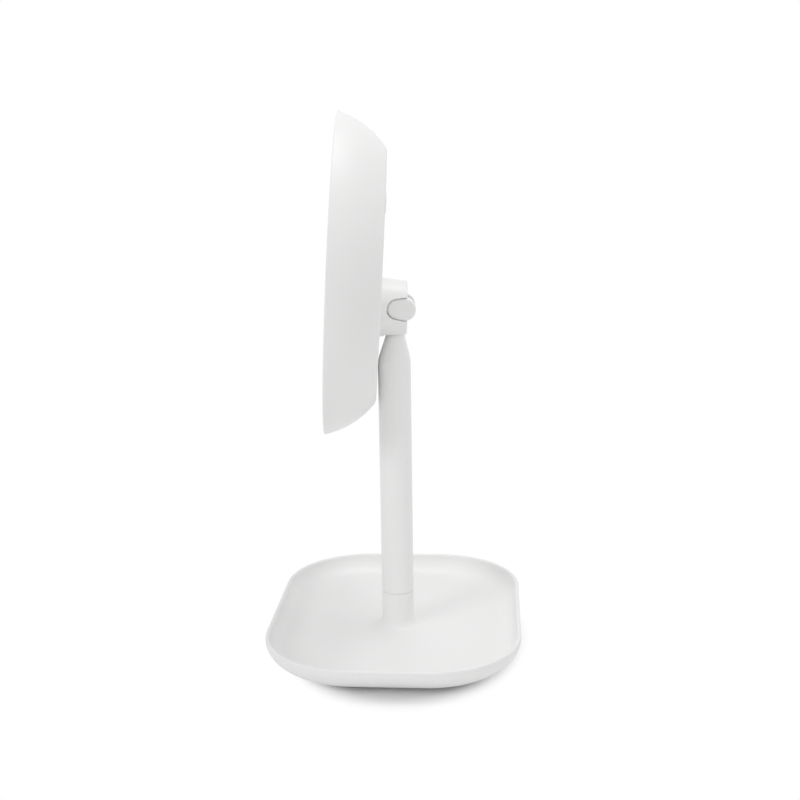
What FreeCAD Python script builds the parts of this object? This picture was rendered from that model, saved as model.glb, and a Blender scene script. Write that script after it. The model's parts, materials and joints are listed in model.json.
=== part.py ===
import FreeCAD, Part
import math
import os

# Lighted magnifying mirror on a dish base. All sizes are in millimetres, all angles in degrees.
# World frame: Z is the column's axis and points up, z = 0 is the table, the mirror faces -Y.
# The head is drawn about its tilt pivot, with x along the hinge, y to the rear and z up the glass.

# Clearances shared by every fit
RUNNING_FIT = 0.05
GLUE_GAP = 0.05
SEAT_GAP = 0.3
SCREW_FIT = 0.05

# Rest pose: the head stands a little turned on the base and leans back a little
REST_SWIVEL = 5.0
REST_TILT = 3.6

# Dish base
BASE_LENGTH = 200.0
BASE_WIDTH = 160.0
BASE_CORNER = 57.0
RIM_HEIGHT = 19.0
RIM_WIDTH = 2.5
RIM_ROUND = 1.0
WALL_TURN_IN = 26.0
WALL_TURN_HEIGHT = 16.5
TRAY_FLOOR = 7.0
TRAY_ROUND = 10.5
FLOOR_THICKNESS = 2.0
POST_FOOT_ROUND = 5.0
POST_EDGE_ROUND = 0.5

# Underside of the base
PAD_THICKNESS = 1.0
PAD_INSET = 4.0
POCKET_INSET = 3.0
BOTTOM_PLATE_THICKNESS = 2.0
BALLAST_CLEARANCE = 0.8
BALLAST_TOP_GAP = 0.1
BASE_SCREW_INSET = 16.0
BASE_SCREW_POST_RADIUS = 3.6

# Column and swivel
COLUMN_DIAMETER = 20.7
COLUMN_BORE_DIAMETER = 15.4
SEAM_HEIGHT = 31.0
BEARING_THICKNESS = 0.4
BEARING_RECESS = 0.1
SPIGOT_DIAMETER = 14.0
SPIGOT_LENGTH = 18.0
PLUG_LENGTH = 26.0
SWIVEL_BOLT_DIAMETER = 6.0
SWIVEL_BOLT_HEAD_DIAMETER = 11.0
SWIVEL_BOLT_HEAD_HEIGHT = 3.6
SWIVEL_LEDGE = 4.5
WASHER_THICKNESS = 0.8
WASHER_DIAMETER = 12.4
COUNTERBORE_DIAMETER = 13.4
INSERT_DIAMETER = 8.4
INSERT_LENGTH = 12.0
PIVOT_HEIGHT = 218.6
PIVOT_SETBACK = 0.9
TAPER_LENGTH = 16.8
SHOULDER_ROUND = 25.0
NECK_DIAMETER = 11.2
NECK_DROP = 17.2
COLUMN_END_WALL = 6.0

# Tilt hinge
TONGUE_DROP = 13.3
TONGUE_WIDTH = 9.3
EYE_RADIUS = 5.0
AXLE_DIAMETER = 4.0
AXLE_LENGTH = 16.8
DISC_THICKNESS = 0.8
DISC_DIAMETER = 9.4
CHEEK_THICKNESS = 9.0
CHEEK_RADIUS = 6.3
CHEEK_REAR_RADIUS = 7.0
CHEEK_AHEAD = 4.9
CHEEK_BEHIND = 12.8
CHEEK_ROUND = 1.6
CHEEK_GAP = 0.4
CHEEK_FOOT = 4.4
HINGE_SCREW_OFFSET = 11.0

# Boss on the back of the head
BOSS_FRONT_DIAMETER = 36.7
BOSS_REAR_DIAMETER = 33.8
BOSS_REAR = 7.55
BOSS_DROP = 0.95
BOSS_REAR_LEAN = 2.0
BOSS_EDGE_ROUND = 0.9
SLOT_EDGE_ROUND = 0.3
NECK_SLOT_WIDTH = 13.6
NECK_SLOT_FRONT = 6.2

# Head shell
HEAD_DIAMETER = 198.5
HEAD_DEPTH = 31.0
WALL_DRAW_IN = 21.4
WALL_BULGE = 3.4
BACK_ROUND = 6.0
SHELL_WALL = 2.4
LIP_ROUND = 0.7
PIVOT_BEHIND_BACK = 9.25
PIVOT_BELOW_CENTRE = 17.9
RABBET_WALL = 2.1
RABBET_DEPTH = 2.6

# Mirror glass, its carrier and the ring of light
GLASS_MARGIN = 16.5
GLASS_THICKNESS = 3.0
GLASS_CURVE_RADIUS = 800.0
GLASS_EDGE_DEPTH = 1.2
TAPE_THICKNESS = 0.8
TAPE_WIDTH = 10.0
TAPE_EDGE_GAP = 2.0
BEZEL_DEPTH = 0.2
BEZEL_LIP = 2.2
BEZEL_WALL = 0.9
DIFFUSER_DEPTH = 0.8
DIFFUSER_REAR = 2.5
DIFFUSER_CROWN = 0.6
DIFFUSER_STEP = 0.9
CARRIER_WALL = 1.4
CARRIER_PLATE = 2.0
CHANNEL_DEPTH = 10.5
CARRIER_BOSS_RADIUS = 5.0
CARRIER_SEAT_DEPTH = 12.6
CARRIER_SCREW_INSET = 14.0
CARRIER_SCREW_COUNT = 6
CARRIER_CLAMP = 2.6
LED_BOARD_WIDTH = 4.2
LED_BOARD_THICKNESS = 1.2
LED_COUNT = 48
LED_LENGTH = 3.5
LED_WIDTH = 2.6
LED_HEIGHT = 0.8

# Electronics behind the carrier
BOARD_LENGTH = 64.0
BOARD_HEIGHT = 34.0
BOARD_THICKNESS = 1.6
BOARD_WALL_GAP = 11.2
BOARD_STANDOFF = 6.5
BOARD_SCREW_INSET = 4.5
BOARD_POST_RADIUS = 2.8
SWITCH_SIZE = 6.2
SWITCH_HEIGHT = 3.2
SWITCH_PLUNGER_DIAMETER = 3.2
SWITCH_PLUNGER_HEIGHT = 0.8
BUTTON_DIAMETER = 13.0
BUTTON_PROUD = 0.9
BUTTON_TRAVEL = 0.8
BUTTON_FLANGE = 1.6
BUTTON_FLANGE_THICKNESS = 0.9
BUTTON_ABOVE_BOARD = 4.0
BUTTON_EDGE_ROUND = 0.6
BUTTON_DISH = 0.4
SOCKET_LENGTH = 9.0
SOCKET_WIDTH = 3.3
SOCKET_WALL = 0.35
SOCKET_EDGE_INSET = 11.0
SOCKET_RECESS = 0.6
SOCKET_TONGUE = 0.7
BATTERY_LENGTH = 56.0
BATTERY_HEIGHT = 36.0
BATTERY_THICKNESS = 8.0
BATTERY_WALL_GAP = 7.7
BATTERY_ROUND = 3.0
BATTERY_TAPE_THICKNESS = 1.5
BATTERY_TAPE_WIDTH = 8.0
BATTERY_TAPE_INSET = 6.0
CHIP_HEIGHT = 1.2

# Small pan-head screws
SMALL_SCREW_DIAMETER = 2.5
SMALL_SCREW_HEAD_DIAMETER = 4.8
SMALL_SCREW_HEAD_HEIGHT = 1.2
BASE_SCREW_LENGTH = 3.9
HINGE_SCREW_LENGTH = 13.0
CARRIER_SCREW_LENGTH = 9.0
BOARD_SCREW_LENGTH = 5.6
RECESS_DEPTH = 0.6
RECESS_DIAMETER = 1.6

# Worked-out places on the base and the column
V = FreeCAD.Vector
ORIGIN = V(0, 0, 0)
TOLERANCE = 1e-4
PAST = 1.0
COLUMN_RADIUS = COLUMN_DIAMETER / 2
WALL_TURN_TOP = PAD_THICKNESS + WALL_TURN_HEIGHT
POCKET_EDGE = WALL_TURN_IN + POCKET_INSET
POCKET_TOP = TRAY_FLOOR - FLOOR_THICKNESS
PLATE_TOP = PAD_THICKNESS + BOTTOM_PLATE_THICKNESS
COLUMN_FOOT = SEAM_HEIGHT + BEARING_THICKNESS + RUNNING_FIT
SPIGOT_FOOT = COLUMN_FOOT - SPIGOT_LENGTH
SPIGOT_BORE_FLOOR = SPIGOT_FOOT - SEAT_GAP
LEDGE_UNDERSIDE = SPIGOT_BORE_FLOOR - SWIVEL_LEDGE
WASHER_TOP = LEDGE_UNDERSIDE - RUNNING_FIT
BOLT_HEAD_TOP = WASHER_TOP - WASHER_THICKNESS
PLUG_TOP = COLUMN_FOOT + PLUG_LENGTH
NECK_HEIGHT = PIVOT_HEIGHT - NECK_DROP
TAPER_FOOT = NECK_HEIGHT - TAPER_LENGTH
TONGUE_FOOT = PIVOT_HEIGHT - TONGUE_DROP

# Worked-out places in the head, as distances from the pivot or depths behind the rim
BACK_Y = -PIVOT_BEHIND_BACK
PIVOT_BEHIND_RIM = HEAD_DEPTH + PIVOT_BEHIND_BACK
BACK_RADIUS = HEAD_DIAMETER / 2 - WALL_DRAW_IN
INSIDE_Y = BACK_Y - SHELL_WALL
CHEEK_INNER = TONGUE_WIDTH / 2 + RUNNING_FIT + DISC_THICKNESS
CHEEK_OUTER = CHEEK_INNER + CHEEK_THICKNESS
CHEEK_FRONT_Y = CHEEK_RADIUS - CHEEK_AHEAD
CHEEK_REAR_Y = CHEEK_BEHIND - CHEEK_REAR_RADIUS
CHEEK_FLARE = math.asin((CHEEK_REAR_RADIUS - CHEEK_RADIUS) / (CHEEK_REAR_Y - CHEEK_FRONT_Y))
SLOT_SHIFT = (CHEEK_GAP - GLUE_GAP) / 2
SLOT_RADIUS = CHEEK_RADIUS + (CHEEK_GAP + GLUE_GAP) / 2
SLOT_FRONT = CHEEK_AHEAD + CHEEK_GAP
GLASS_RADIUS = HEAD_DIAMETER / 2 - GLASS_MARGIN
CARRIER_BORE = GLASS_RADIUS + SEAT_GAP
CHANNEL_INNER = CARRIER_BORE + CARRIER_WALL
CARRIER_REAR = CHANNEL_DEPTH + CARRIER_WALL
RABBET_RADIUS = HEAD_DIAMETER / 2 - RABBET_WALL
BEZEL_OUTER = RABBET_RADIUS - RUNNING_FIT
BEZEL_BORE = BEZEL_OUTER - BEZEL_LIP
DIFFUSER_OUTER = BEZEL_OUTER - BEZEL_WALL - RUNNING_FIT
BOARD_REAR_Y = INSIDE_Y - BOARD_STANDOFF
BOARD_FRONT_Y = BOARD_REAR_Y - BOARD_THICKNESS
BOARD_REACH = math.sqrt((BACK_RADIUS - BOARD_WALL_GAP) ** 2 - (BOARD_LENGTH / 2) ** 2)
BOARD_Z = PIVOT_BELOW_CENTRE + BOARD_REACH - BOARD_HEIGHT / 2
BUTTON_Z = BOARD_Z + BUTTON_ABOVE_BOARD
SOCKET_X = BOARD_LENGTH / 2 - SOCKET_EDGE_INSET
BATTERY_REACH = math.sqrt((BACK_RADIUS - BATTERY_WALL_GAP) ** 2 - (BATTERY_LENGTH / 2) ** 2)
BATTERY_Z = PIVOT_BELOW_CENTRE - BATTERY_REACH + BATTERY_HEIGHT / 2
SIDES = (-1, 1)


# Basic forms


def rod(radius, start, end):
    """Cylinder between two points."""
    along = end - start
    return Part.makeCylinder(radius, along.Length, start, along)


def ring(outer, inner, start, end):
    """Tube between two points."""
    return rod(outer, start, end).cut(rod(inner, start, end))


def block(low, high):
    """Box between two corners."""
    size = high - low
    return Part.makeBox(size.x, size.y, size.z, low)


def edges_at_height(shape, height):
    """Edges that lie flat at one height."""
    return [
        edge
        for edge in shape.Edges
        if abs(edge.BoundBox.ZMin - height) < TOLERANCE and abs(edge.BoundBox.ZMax - height) < TOLERANCE
    ]


def edges_at_x(shape, place):
    """Edges that lie in one plane across the hinge."""
    return [
        edge
        for edge in shape.Edges
        if abs(edge.BoundBox.XMin - place) < TOLERANCE and abs(edge.BoundBox.XMax - place) < TOLERANCE
    ]


def edges_at_y(shape, place):
    """Edges that lie in one plane square to the mirror's axis."""
    return [
        edge
        for edge in shape.Edges
        if abs(edge.BoundBox.YMin - place) < TOLERANCE and abs(edge.BoundBox.YMax - place) < TOLERANCE
    ]


def rounded_block(inset, low, high):
    """Upright block about the column's axis that follows the base's outline, moved inwards by inset."""
    across = BASE_LENGTH / 2 - inset
    along = BASE_WIDTH / 2 - inset
    prism = block(V(-across, -along, low), V(across, along, high))
    uprights = [edge for edge in prism.Edges if edge.BoundBox.ZLength > TOLERANCE]
    return prism.makeFillet(BASE_CORNER - inset, uprights)


def pan_head_screw(seat, along, length):
    """Small screw whose head sits on seat and whose shank runs from there along a direction."""
    head_top = seat - along * SMALL_SCREW_HEAD_HEIGHT
    head = rod(SMALL_SCREW_HEAD_DIAMETER / 2, head_top, seat)
    shank = rod(SMALL_SCREW_DIAMETER / 2, seat, seat + along * length)
    recess = rod(RECESS_DIAMETER / 2, head_top, head_top + along * RECESS_DEPTH)
    return head.fuse(shank).removeSplitter().cut(recess)


def screw_hole(seat, along, length):
    """Hole for the shank of a small screw, a little longer than the shank."""
    start = seat - along * PAST
    end = seat + along * (length + SEAT_GAP)
    return rod(SMALL_SCREW_DIAMETER / 2 + SCREW_FIT, start, end)


def joined(first, others):
    """One solid from a main form and the forms that grow out of it."""
    return first.fuse(others).removeSplitter()


# Base


def base_screw_places():
    """The four screw posts under the tray."""
    across = BASE_LENGTH / 2 - POCKET_EDGE - BASE_SCREW_INSET
    along = BASE_WIDTH / 2 - POCKET_EDGE - BASE_SCREW_INSET
    return [(across * side, along * end) for side in SIDES for end in SIDES]


def wall_section(reach, along):
    """Section of the base's outside from a corner's centre out to the wall, which turns in below."""
    edge = reach + BASE_CORNER
    axis_foot = V(reach, along, PAD_THICKNESS)
    turn_foot = V(edge - WALL_TURN_IN, along, PAD_THICKNESS)
    turn_centre = V(edge - WALL_TURN_IN, along, WALL_TURN_TOP)
    turn_top = V(edge, along, WALL_TURN_TOP)
    wall_top = V(edge, along, RIM_HEIGHT)
    axis_top = V(reach, along, RIM_HEIGHT)
    turn = Part.Arc(Part.Ellipse(turn_top, turn_foot, turn_centre), 0, math.pi / 2).toShape()
    edges = [
        Part.makeLine(axis_foot, turn_foot),
        turn,
        Part.makeLine(turn_top, wall_top),
        Part.makeLine(wall_top, axis_top),
        Part.makeLine(axis_top, axis_foot),
    ]
    return Part.Face(Part.Wire(edges))


def base_outside():
    """Outside of the base, from a middle block, four sides and four turned corners."""
    length = BASE_LENGTH / 2 - BASE_CORNER
    width = BASE_WIDTH / 2 - BASE_CORNER
    middle = block(V(-length, -width, PAD_THICKNESS), V(length, width, RIM_HEIGHT))
    pieces = []
    for quarter in range(4):
        reach, along = (length, width) if quarter % 2 == 0 else (width, length)
        side = wall_section(reach, -along).extrude(V(0, 2 * along, 0))
        corner = wall_section(reach, along).revolve(V(reach, along, 0), V(0, 0, 1), 90)
        for piece in (side, corner):
            piece.rotate(ORIGIN, V(0, 0, 1), 90 * quarter)
            pieces.append(piece)
    return joined(middle, pieces)


def base_tray():
    """Dish with a curved wall, a post for the column and a pocket underneath for the weight."""
    hollow = rounded_block(RIM_WIDTH, TRAY_FLOOR, RIM_HEIGHT + TRAY_ROUND)
    hollow = hollow.makeFillet(TRAY_ROUND, edges_at_height(hollow, TRAY_FLOOR))
    tray = base_outside().cut(hollow)
    tray = tray.makeFillet(RIM_ROUND, edges_at_height(tray, RIM_HEIGHT))

    post = rod(COLUMN_RADIUS, V(0, 0, TRAY_FLOOR - FLOOR_THICKNESS), V(0, 0, SEAM_HEIGHT))
    tray = joined(tray, [post])
    foot = [
        edge
        for edge in edges_at_height(tray, TRAY_FLOOR)
        if abs(edge.BoundBox.XMax - COLUMN_RADIUS) < TOLERANCE
    ]
    tray = tray.makeFillet(POST_FOOT_ROUND, foot)
    tray = tray.makeFillet(POST_EDGE_ROUND, edges_at_height(tray, SEAM_HEIGHT))

    pocket = rounded_block(POCKET_EDGE, PAD_THICKNESS - PAST, POCKET_TOP)
    hub = rod(COLUMN_RADIUS, V(0, 0, PLATE_TOP), V(0, 0, POCKET_TOP))
    screw_posts = [
        rod(BASE_SCREW_POST_RADIUS, V(x, y, PLATE_TOP), V(x, y, POCKET_TOP)) for x, y in base_screw_places()
    ]
    tray = tray.cut(pocket.cut([hub] + screw_posts))

    spigot_bore = rod(
        SPIGOT_DIAMETER / 2 + RUNNING_FIT, V(0, 0, SPIGOT_BORE_FLOOR), V(0, 0, SEAM_HEIGHT + PAST)
    )
    bolt_hole = rod(SWIVEL_BOLT_DIAMETER / 2 + SEAT_GAP, ORIGIN, V(0, 0, SEAM_HEIGHT))
    counterbore = rod(COUNTERBORE_DIAMETER / 2, ORIGIN, V(0, 0, LEDGE_UNDERSIDE))
    return tray.cut([spigot_bore, bolt_hole, counterbore] + base_screw_holes())


def base_screw_seat(x, y):
    """Where the head of an underside screw bears, inside the bottom plate."""
    return V(x, y, PAD_THICKNESS + SMALL_SCREW_HEAD_HEIGHT)


def base_screw_holes():
    """Shank holes for the underside screws."""
    up = V(0, 0, 1)
    return [screw_hole(base_screw_seat(x, y), up, BASE_SCREW_LENGTH) for x, y in base_screw_places()]


def base_bottom_plate():
    """Flat cover that closes the pocket and carries the weight."""
    plate = rounded_block(POCKET_EDGE + SEAT_GAP, PAD_THICKNESS, PLATE_TOP)
    head_radius = SMALL_SCREW_HEAD_DIAMETER / 2 + SEAT_GAP
    sinks = [rod(head_radius, V(x, y, 0), base_screw_seat(x, y)) for x, y in base_screw_places()]
    return plate.cut(sinks + base_screw_holes())


def base_screws():
    """Four screws that hold the bottom plate."""
    up = V(0, 0, 1)
    return Part.makeCompound(
        [pan_head_screw(base_screw_seat(x, y), up, BASE_SCREW_LENGTH) for x, y in base_screw_places()]
    )


def ballast_plate():
    """Steel weight between the tray floor and the bottom plate."""
    plate = rounded_block(POCKET_EDGE + BALLAST_CLEARANCE, PLATE_TOP, POCKET_TOP - BALLAST_TOP_GAP)
    hub_hole = rod(COLUMN_RADIUS + BALLAST_CLEARANCE, ORIGIN, V(0, 0, SEAM_HEIGHT))
    post_radius = BASE_SCREW_POST_RADIUS + BALLAST_CLEARANCE
    post_holes = [
        rod(post_radius, V(x, y, 0), V(x, y, SEAM_HEIGHT)) for x, y in base_screw_places()
    ]
    return plate.cut([hub_hole] + post_holes)


def anti_slip_pad():
    """Soft pad that the mirror stands on."""
    return rounded_block(POCKET_EDGE + PAD_INSET, 0, PAD_THICKNESS)


def swivel_bearing():
    """Thin slippery ring in the seam between post and column."""
    foot = V(0, 0, SEAM_HEIGHT)
    inner = SPIGOT_DIAMETER / 2 + SEAT_GAP
    return ring(COLUMN_RADIUS - BEARING_RECESS, inner, foot, foot + V(0, 0, BEARING_THICKNESS))


# Column and swivel


def swivel_spigot():
    """Plug glued into the column, with the journal that turns in the post."""
    journal = rod(SPIGOT_DIAMETER / 2, V(0, 0, SPIGOT_FOOT), V(0, 0, COLUMN_FOOT))
    plug = rod(COLUMN_BORE_DIAMETER / 2 - GLUE_GAP, V(0, 0, COLUMN_FOOT), V(0, 0, PLUG_TOP))
    body = joined(journal, [plug])
    bolt_hole = rod(SWIVEL_BOLT_DIAMETER / 2 + SEAT_GAP, ORIGIN, V(0, 0, PLUG_TOP))
    insert_hole = rod(
        INSERT_DIAMETER / 2 + GLUE_GAP, V(0, 0, PLUG_TOP - INSERT_LENGTH), V(0, 0, PLUG_TOP + PAST)
    )
    return body.cut([bolt_hole, insert_hole])


def threaded_insert():
    """Brass nut set into the top of the plug."""
    bore = SWIVEL_BOLT_DIAMETER / 2 + SCREW_FIT
    return ring(INSERT_DIAMETER / 2, bore, V(0, 0, PLUG_TOP - INSERT_LENGTH), V(0, 0, PLUG_TOP))


def swivel_bolt():
    """Bolt that holds the column down on the base."""
    head_foot = BOLT_HEAD_TOP - SWIVEL_BOLT_HEAD_HEIGHT
    head = rod(SWIVEL_BOLT_HEAD_DIAMETER / 2, V(0, 0, head_foot), V(0, 0, BOLT_HEAD_TOP))
    shank = rod(SWIVEL_BOLT_DIAMETER / 2, V(0, 0, BOLT_HEAD_TOP), V(0, 0, PLUG_TOP))
    recess_top = head_foot + SWIVEL_BOLT_HEAD_HEIGHT / 2
    recess = rod(SWIVEL_BOLT_DIAMETER / 2, V(0, 0, head_foot), V(0, 0, recess_top))
    return joined(head, [shank]).cut(recess)


def swivel_washer():
    """Spring washer under the ledge, which gives the swivel its drag."""
    bore = SWIVEL_BOLT_DIAMETER / 2 + SEAT_GAP
    return ring(WASHER_DIAMETER / 2, bore, V(0, 0, BOLT_HEAD_TOP), V(0, 0, WASHER_TOP))


def level_circle(radius, along, height):
    """Level circle about the column's axis or a place behind it."""
    return Part.Wire(Part.makeCircle(radius, V(0, along, height)))


def column_body():
    """Straight tube with a soft shoulder, a taper and a neck set a little to the rear."""
    neck = NECK_DIAMETER / 2
    tube = rod(COLUMN_RADIUS, V(0, 0, COLUMN_FOOT), V(0, 0, TAPER_FOOT))
    shoulder_circle = level_circle(COLUMN_RADIUS, 0, TAPER_FOOT)
    neck_circle = level_circle(neck, PIVOT_SETBACK, NECK_HEIGHT)
    taper = Part.makeLoft([shoulder_circle, neck_circle], True, True)
    body = joined(tube, [taper])
    body = body.makeFillet(SHOULDER_ROUND, edges_at_height(body, TAPER_FOOT))
    stem = rod(neck, V(0, PIVOT_SETBACK, NECK_HEIGHT), V(0, PIVOT_SETBACK, TONGUE_FOOT))
    return joined(body, [stem])


def column_tube():
    """Hollow column with its neck and the hinge tongue on top."""
    half = TONGUE_WIDTH / 2
    pivot = V(0, PIVOT_SETBACK, PIVOT_HEIGHT)
    blade = block(
        V(-half, PIVOT_SETBACK - EYE_RADIUS, NECK_HEIGHT), V(half, PIVOT_SETBACK + EYE_RADIUS, PIVOT_HEIGHT)
    )
    eye = rod(EYE_RADIUS, pivot - V(half, 0, 0), pivot + V(half, 0, 0))
    body = joined(column_body(), [blade, eye])
    bore_top = TAPER_FOOT - COLUMN_END_WALL
    bore = rod(COLUMN_BORE_DIAMETER / 2, V(0, 0, COLUMN_FOOT - PAST), V(0, 0, bore_top))
    axle_hole = rod(
        AXLE_DIAMETER / 2 + RUNNING_FIT, pivot - V(TONGUE_WIDTH, 0, 0), pivot + V(TONGUE_WIDTH, 0, 0)
    )
    return body.cut([bore, axle_hole])


# Tilt hinge, in the head's own frame


def flare(level):
    """Unit vectors across and along the upper or lower side of the cheeks; level is -1 or 1."""
    rise = math.cos(CHEEK_FLARE) * level
    run = math.sin(CHEEK_FLARE)
    return V(0, -run, rise), V(0, abs(rise), run * level)


def pill(inner, outer):
    """Prism across the hinge with a round front end and a larger round rear end."""
    front = V(inner, CHEEK_FRONT_Y, 0)
    rear = V(inner, CHEEK_REAR_Y, 0)
    up = flare(1)[0]
    down = flare(-1)[0]
    front_top = front + up * CHEEK_RADIUS
    front_foot = front + down * CHEEK_RADIUS
    rear_top = rear + up * CHEEK_REAR_RADIUS
    rear_foot = rear + down * CHEEK_REAR_RADIUS
    edges = [
        Part.makeLine(front_top, rear_top),
        Part.Arc(rear_top, V(inner, CHEEK_BEHIND, 0), rear_foot).toShape(),
        Part.makeLine(rear_foot, front_foot),
        Part.Arc(front_foot, V(inner, -CHEEK_AHEAD, 0), front_top).toShape(),
    ]
    return Part.Face(Part.Wire(edges)).extrude(V(outer - inner, 0, 0))


def hinge_screw_seat(side):
    """Where a hinge screw's head bears on the inside of the shell's back."""
    return V(side * HINGE_SCREW_OFFSET, INSIDE_Y, 0)


def hinge_screw_holes():
    """Shank holes for the two hinge screws, through the back, the boss and the cheeks."""
    return [screw_hole(hinge_screw_seat(side), V(0, 1, 0), HINGE_SCREW_LENGTH) for side in SIDES]


def cheek_slot(inset):
    """The boss's slot: it follows the cheeks, which rest on its floor, and stays open behind."""
    reach = BOSS_FRONT_DIAMETER
    radius = SLOT_RADIUS - inset
    centre = V(-reach, CHEEK_FRONT_Y - SLOT_SHIFT, SLOT_SHIFT)
    up, along_top = flare(1)
    down, along_foot = flare(-1)
    top = centre + up * radius
    foot = centre + down * radius
    top_end = top + along_top * reach
    foot_end = foot + along_foot * reach
    edges = [
        Part.makeLine(top_end, top),
        Part.Arc(top, centre - V(0, radius, 0), foot).toShape(),
        Part.makeLine(foot, foot_end),
        Part.makeLine(foot_end, top_end),
    ]
    return Part.Face(Part.Wire(edges)).extrude(V(2 * reach, 0, 0))


def hinge_cheek(side):
    """Round-ended block in the boss that holds one end of the axle; side is -1 or 1."""
    cheek = pill(CHEEK_INNER, CHEEK_OUTER)
    cheek = cheek.makeFillet(CHEEK_ROUND, edges_at_x(cheek, CHEEK_OUTER))
    half = CHEEK_FOOT / 2
    foot = block(
        V(HINGE_SCREW_OFFSET - half, -SLOT_FRONT, -half),
        V(HINGE_SCREW_OFFSET + half, CHEEK_FRONT_Y, half),
    )
    cheek = joined(cheek, [foot.common(cheek_slot(RUNNING_FIT))])
    axle_hole = rod(AXLE_DIAMETER / 2 + GLUE_GAP, ORIGIN, V(AXLE_LENGTH / 2 + GLUE_GAP, 0, 0))
    cheek = cheek.cut([axle_hole] + hinge_screw_holes())
    if side < 0:
        return cheek.mirror(ORIGIN, V(1, 0, 0))
    return cheek


def hinge_axle():
    """Steel pin through the column's eye."""
    half = AXLE_LENGTH / 2
    return rod(AXLE_DIAMETER / 2, V(-half, 0, 0), V(half, 0, 0))


def hinge_discs():
    """Two friction discs between the eye and the cheeks."""
    bore = AXLE_DIAMETER / 2 + GLUE_GAP
    discs = []
    for side in SIDES:
        outside = V(side * CHEEK_INNER, 0, 0)
        inside = V(side * (CHEEK_INNER - DISC_THICKNESS), 0, 0)
        discs.append(ring(DISC_DIAMETER / 2, bore, inside, outside))
    return Part.makeCompound(discs)


def hinge_screws():
    """Two screws that hold the cheeks from inside the shell."""
    rear = V(0, 1, 0)
    return Part.makeCompound(
        [pan_head_screw(hinge_screw_seat(side), rear, HINGE_SCREW_LENGTH) for side in SIDES]
    )


# Head shell, in the head's own frame


def head_point(radius, depth):
    """Point of a half section of the head: a radius from its axis and a depth behind its rim."""
    return V(radius, depth - PIVOT_BEHIND_RIM, PIVOT_BELOW_CENTRE)


def turned(edges):
    """Solid made by turning a closed half section about the head's axis."""
    face = Part.Face(Part.Wire(edges))
    return face.revolve(head_point(0, 0), V(0, 1, 0), 360)


def turned_outline(points):
    """Solid turned from straight edges through (radius, depth) points."""
    corners = [head_point(radius, depth) for radius, depth in points]
    following = corners[1:] + corners[:1]
    return turned([Part.makeLine(start, end) for start, end in zip(corners, following)])


def wall_radius(depth, inset):
    """Radius of the shell's curved wall at a depth, moved inwards by inset."""
    rim = HEAD_DIAMETER / 2
    chord = math.hypot(WALL_DRAW_IN, HEAD_DEPTH)
    curve = (chord ** 2 / 4 + WALL_BULGE ** 2) / (2 * WALL_BULGE)
    to_centre = curve - WALL_BULGE
    centre_radius = (rim + BACK_RADIUS) / 2 - to_centre * HEAD_DEPTH / chord
    centre_depth = HEAD_DEPTH / 2 - to_centre * WALL_DRAW_IN / chord
    return centre_radius + math.sqrt((curve - inset) ** 2 - (depth - centre_depth) ** 2)


def dish(inset):
    """The shell's bowl as a solid, with its wall and back moved inwards by inset."""
    depth = HEAD_DEPTH - inset
    front_axis = head_point(0, 0)
    rim = head_point(wall_radius(0, inset), 0)
    middle = head_point(wall_radius(depth / 2, inset), depth / 2)
    corner = head_point(wall_radius(depth, inset), depth)
    back_axis = head_point(0, depth)
    bowl = turned(
        [
            Part.makeLine(front_axis, rim),
            Part.Arc(rim, middle, corner).toShape(),
            Part.makeLine(corner, back_axis),
            Part.makeLine(back_axis, front_axis),
        ]
    )
    return bowl.makeFillet(BACK_ROUND - inset, edges_at_y(bowl, back_axis.y))


def hinge_boss():
    """Tapered boss on the back of the head, slotted for the cheeks and for the column's neck."""
    front = BOSS_FRONT_DIAMETER / 2
    rear = BOSS_REAR_DIAMETER / 2
    past_rear = rear - (front - rear) * PAST / (BOSS_REAR - BACK_Y)
    length = BOSS_REAR + PAST - BACK_Y
    cone = Part.makeCone(front, past_rear, length, V(0, BACK_Y, -BOSS_DROP), V(0, 1, 0))
    trim = block(V(-front, BOSS_REAR, -2 * front), V(front, BOSS_REAR + 2 * front, 2 * front))
    trim.rotate(V(0, BOSS_REAR, -BOSS_DROP), V(1, 0, 0), BOSS_REAR_LEAN)
    cone = cone.cut(trim)
    rear_face = max(cone.Faces, key=lambda face: face.CenterOfMass.y)
    cone = cone.makeFillet(BOSS_EDGE_ROUND, rear_face.Edges)
    boss = cone.cut(boss_slots() + hinge_screw_holes())
    return boss.makeFillet(SLOT_EDGE_ROUND, slot_mouth(boss))


def slot_mouth(boss):
    """Edges where the slot for the cheeks comes out of the boss's tapered side."""
    slot = cheek_slot(0)
    mouth = []
    for face in boss.Faces:
        if isinstance(face.Surface, Part.Cone):
            for edge in face.Edges:
                middle = edge.valueAt((edge.FirstParameter + edge.LastParameter) / 2)
                if slot.isInside(middle, TOLERANCE, True):
                    mouth.append(edge)
    return mouth


def boss_slots():
    """Slot for the cheeks right through the boss, and the way out for the neck below and behind."""
    reach = BOSS_FRONT_DIAMETER
    half = NECK_SLOT_WIDTH / 2
    eye_room = rod(NECK_SLOT_FRONT, V(-half, 0, 0), V(half, 0, 0))
    neck_way = block(V(-half, -NECK_SLOT_FRONT, -reach), V(half, reach, 0))
    return [cheek_slot(0), eye_room, neck_way]


def carrier_screw_places():
    """Centres of the carrier's screw posts, on a circle about the head's axis."""
    radius = GLASS_RADIUS - CARRIER_SCREW_INSET
    step = 2 * math.pi / CARRIER_SCREW_COUNT
    angles = [math.pi / 2 + step * index for index in range(CARRIER_SCREW_COUNT)]
    return [(radius * math.cos(angle), PIVOT_BELOW_CENTRE + radius * math.sin(angle)) for angle in angles]


def carrier_screw_seat(x, z):
    """Where a carrier screw's head bears, sunk in the carrier's boss."""
    return V(x, CARRIER_SEAT_DEPTH - CARRIER_CLAMP - PIVOT_BEHIND_RIM, z)


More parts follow.
